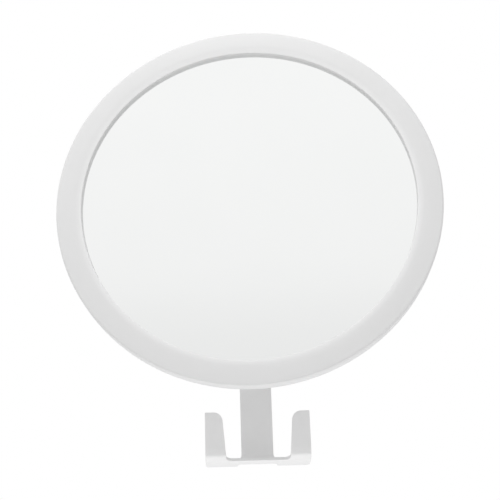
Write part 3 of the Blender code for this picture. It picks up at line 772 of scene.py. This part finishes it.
ball_line = arc(ball_radius, pi, asin(neck_radius / ball_radius), ball_steps, ball_reach)
stud_shape = bmesh.new()
section(stud_shape, [(0, ball_reach + ball_radius, 0)] + ball_line[1:]
        + [(neck_radius, neck_foot, 0), (shank_radius, neck_foot, 0),
           (shank_radius, shank_foot, shank_edge), (0, shank_foot, 0)])
sweep(stud_shape, stud_steps)
stud_mesh = mesh_of(stud_shape, "stud", Matrix())
collar_shape = bmesh.new()
bmesh.ops.create_cone(collar_shape, cap_ends=True, segments=6, radius1=collar_radius,
                      radius2=collar_radius, depth=collar_height,
                      matrix=Matrix.Translation((0, 0, collar_middle)))


def level_edges(shape):
    """The edges that lie level, which are those round the top and the bottom."""
    return [e for e in shape.edges if abs(e.verts[0].co.z - e.verts[1].co.z) < merge_distance]


round_off(collar_shape, level_edges(collar_shape), collar_edge, 2, 'EDGES')
stud_mesh = cut(stud_mesh, [mesh_of(collar_shape, "collar", Matrix())], 'UNION')
stud_mesh.transform(wall_place)
piece("fine_ball_stud", stud_mesh, "wall_bracket", ["ball_stud"], [polished_steel])

# %% Socket cup
cup_radius, cup_front, cup_back, cup_floor = 0.0140, 0.0141, 0.0004, 0.0121
socket_bore = 0.0111
socket_flange, flange_edge, flange_root = 0.0240, 0.0004, 0.0008
cup_flange_front, cup_flange_back = 0.0107, 0.0079
cup_front_round, cup_mouth_round = 0.0010, 0.0002
pillar_steps = 32
pillar_foot, pillar_top, pillar_height, pillar_middle = 0.0032, 0.0030, 0.0081, 0.00445

cup_corners = [(0, cup_front, 0), (cup_radius, cup_front, cup_front_round),
               (cup_radius, cup_flange_front, 0), (socket_flange, cup_flange_front, flange_edge),
               (socket_flange, cup_flange_back, flange_edge),
               (cup_radius, cup_flange_back, flange_root), (cup_radius, cup_back, cup_mouth_round),
               (socket_bore, cup_back, cup_mouth_round), (socket_bore, cup_floor, 0), (0, cup_floor, 0)]
cup_shape = bmesh.new()
section(cup_shape, cup_corners)
sweep(cup_shape, socket_steps)
pillars = []
for x, y in ring_places(3, 90, socket_screw_ring):
    pillar = bmesh.new()
    bmesh.ops.create_cone(pillar, cap_ends=True, segments=pillar_steps, radius1=pillar_foot,
                          radius2=pillar_top, depth=pillar_height, matrix=Matrix.Rotation(pi, 4, 'X'))
    pillars.append(mesh_of(pillar, "pillar", Matrix.Translation((x, y, pillar_middle))))
cup_mesh = cut(mesh_of(cup_shape, "cup", Matrix()), pillars, 'UNION')
cup_mesh.transform(head_place)
piece("fine_socket_cup", cup_mesh, "mirror_head", ["socket_cup"], [nylon_black])

# %% Clamp ring: a dome outside, a bowl inside, and the mouth between their lower ends
dome_radius = 0.0135
dome_steps = 14
mouth_outer, mouth_inner = radians(48), radians(50)
clamp_front, clamp_back = 0.0001, -0.0027

dome = arc(dome_radius, pi / 2 - asin(-clamp_back / dome_radius), mouth_outer, dome_steps)
bowl = arc(socket_bore, mouth_inner, pi / 2, dome_steps)
clamp_corners = ([(socket_flange, clamp_front, flange_edge), (socket_flange, clamp_back, flange_edge)]
                 + dome + bowl[:-1] + [(socket_bore, clamp_front, 0)])
turned("fine_clamp_ring", clamp_corners, socket_steps, head_place, "mirror_head", ["clamp_ring"],
       [nylon_black])

# %% [markdown]
# ## The wall base
# A small white drum stands on the wall. A steel plate closes its back, and a round of adhesive foam,
# half a millimetre smaller all round, holds it. The strap lies across its front.

# %% Wall base and pad
base_radius, base_front, base_back = 0.0300, 0.0113, 0.0013
hollow_radius, hollow_front = 0.0275, 0.0078
pad_radius, pad_front, pad_edge = 0.0295, 0.0010, 0.0001

base_corners = [(0, base_front, 0), (base_radius, base_front, 0.0015), (base_radius, base_back, 0.0003),
                (hollow_radius, base_back, 0.0002), (hollow_radius, hollow_front, 0.0005),
                (0, hollow_front, 0)]
turned("fine_wall_base", base_corners, base_steps, wall_place, "wall_bracket", ["wall_base"],
       [base_white])
pad_corners = [(0, pad_front, 0), (pad_radius, pad_front, pad_edge), (pad_radius, 0, pad_edge), (0, 0, 0)]
turned("fine_wall_pad", pad_corners, base_steps, wall_place, "wall_bracket", ["wall_pad"],
       [foam_grey])

# %% [markdown]
# ## The hook
# The hook is one plate of 1.8 mm steel. It could be thickened after it is bent, but a bevel on bent
# edges leaves creases. So it is made as in a workshop: a flat outline with rounded corners is pushed
# up into a plate, its edges are broken with a small bevel, and only then is it bent. Cuts across the
# plate give it enough points to bend smoothly.

# %% Hook sizes; a path is a list of (length, turn) steps along the sheet's middle
sheet = 0.0018
half_strap = 0.00815
half_hook = 0.0263
half_notch = 0.0158
hook_drop = 0.1299
strap_back = 0.0116
rear_line, front_line, notch_line = -0.0060, -0.0114, -0.0126
prong_run, prong_width = 0.0182, 0.0085
bend_radius = 0.0051
edge_break = 0.0003


def bend(radius, degrees):
    """One step of a path: a round bend, as its length and its turn."""
    return radius * radians(degrees), radians(degrees)


rear_path = [bend(bend_radius, 90)]
front_path = [bend(0.0020, 23), (0.00358, 0), bend(0.0010, 57), (0.00213, 0), bend(0.0040, 10)]
rear_run, front_run = (sum(length for length, turn in path) for path in (rear_path, front_path))
bend_rise = bend_radius + sheet / 2
tip_line = front_line - front_run - prong_run
strap_top = rear_line + rear_run + hook_drop + strap_screw_rise - bend_rise
print("flat plate", round((strap_top + half_strap - tip_line) * MM, 1), "mm long")

# %% Flat plate, from (across, along, rounding) corners; the strap's end is a half round
root_round, shelf_round, notch_round = 0.0016, 0.0020, 0.0026
tip_outer_round, tip_inner_round = 0.0005, 0.0042
large_round = 0.005
large_steps, small_steps, break_steps = 24, 8, 3

right_corners = [(half_strap, strap_top + half_strap, half_strap * 0.999), (half_strap, 0, root_round),
                 (half_hook, 0, shelf_round), (half_hook, tip_line, tip_outer_round),
                 (half_hook - prong_width, tip_line, tip_inner_round),
                 (half_notch, notch_line, notch_round)]
left_corners = [(-across, along, rounding) for across, along, rounding in reversed(right_corners)]
plate = bmesh.new()
outline = [(plate.verts.new((across, along, -sheet / 2)), rounding)
           for across, along, rounding in right_corners + left_corners]
plate.faces.new([point for point, rounding in outline])
for point, rounding in outline:
    steps = large_steps if rounding > large_round else small_steps
    round_off(plate, [point], rounding, steps, 'VERTICES')
lifted = bmesh.ops.extrude_face_region(plate, geom=plate.faces[:])["geom"]
bmesh.ops.translate(plate, verts=[item for item in lifted if isinstance(item, bmesh.types.BMVert)],
                    vec=(0, 0, sheet))
bmesh.ops.recalc_face_normals(plate, faces=plate.faces[:])
round_off(plate, level_edges(plate), edge_break, break_steps, 'EDGES')
print("plate", len(plate.verts), "points")

# %% Cut it across and along, finest where it bends
flare = 0.0022
square = 0.0015
bend_step = radians(7.5)
flare_steps, strap_steps = 8, 5

cut_lines = [front_line + square * step for step in range(1, int((rear_line - front_line) / square))]
for start, path, way in ((front_line, front_path, -1), (rear_line, rear_path, 1)):
    for length, turn in path:
        steps = max(1, round(turn / bend_step))
        cut_lines += [start + way * length * step / steps for step in range(steps + 1)]
        start += way * length
cut_lines += [tip_line + square * step for step in range(1, int(prong_run / square))]
cut_lines += [strap_top - square * step for step in range(int(hook_drop / square))]
side_lines = [half_strap + flare * step / flare_steps for step in range(flare_steps + 1)]
side_lines += [half_strap * step / strap_steps for step in range(1, strap_steps)]
side_lines += [half_hook - square * step
               for step in range(1, int((half_hook - half_strap - flare) / square))]
cuts = [((0, line, 0), (0, 1, 0)) for line in cut_lines]
cuts += [((side * line, 0, 0), (1, 0, 0)) for line in side_lines for side in (1, -1)]
for point, normal in cuts:
    bmesh.ops.bisect_plane(plate, geom=plate.verts[:] + plate.edges[:] + plate.faces[:],
                           dist=merge_distance, plane_co=point, plane_no=normal)
print("cut plate", len(plate.faces), "faces")

# %% Bend it


def walk(run, lift, path):
    """How far on and up a run along a path leads, for a point that lies lift off its middle."""
    offset = rise = slope = 0
    for length, turn in path + [(1, 0)]:
        covered = min(max(run, 0), length)
        if turn:
            radius = length / turn
            ahead = slope + covered / radius
            offset += radius * (sin(ahead) - sin(slope))
            rise += radius * (cos(slope) - cos(ahead))
            slope = ahead
        else:
            offset += covered * cos(slope)
            rise += covered * sin(slope)
        run -= length
    return offset - lift * sin(slope), rise + lift * cos(slope)


def carried(across, along, lift):
    """Where a point of the plate lies after both bends; the roots flare out of the rear bend."""
    middle = sheet / 2
    if along < front_line:
        offset, rise = walk(front_line - along, lift, front_path)
        return Vector((across, front_line - offset, middle + rise))
    level = Vector((across, along, middle + lift))
    if along < rear_line:
        return level
    offset, rise = walk(along - rear_line, lift, rear_path)
    bent = Vector((across, rear_line + offset, middle + rise))
    share = min(max((abs(across) - half_strap) / flare, 0), 1)
    return bent.lerp(level, share * share * (3 - 2 * share))


for vertex in plate.verts:
    vertex.co = carried(*vertex.co)
hook_mesh = mesh_of(plate, "fine_hook", Matrix.Translation((0, -strap_back, -hook_drop)))
fine_hook = piece("fine_hook", hook_mesh, "wall_bracket", ["hook_strap"], [powder_coat])
even = fine_hook.modifiers.new("flat_faces", 'WEIGHTED_NORMAL')
even.weight = 100
even.keep_sharp = False

# %% [markdown]
# ## Pieces that stay as they are
# The rest is hidden inside the head and the base, or shows only as a thin line at the socket's mouth.
# Those CAD nodes keep their shapes and get the same finishes.

# %% Dress the CAD nodes
dressing = {"foam_pad": foam_grey, "backing_plate": pressed_board, "back_plate": zinc_plate,
            "stud_washer": zinc_plate, "stud_nut": zinc_plate, "disc_spring": blued_steel,
            "liner_ring": acetal_white, "pressure_cup": acetal_white}
for name, made in dressing.items():
    node = frame["nodes"][name]
    node.data.materials.clear()
    node.data.materials.append(made)
print("dressed", ", ".join(sorted(dressing)))
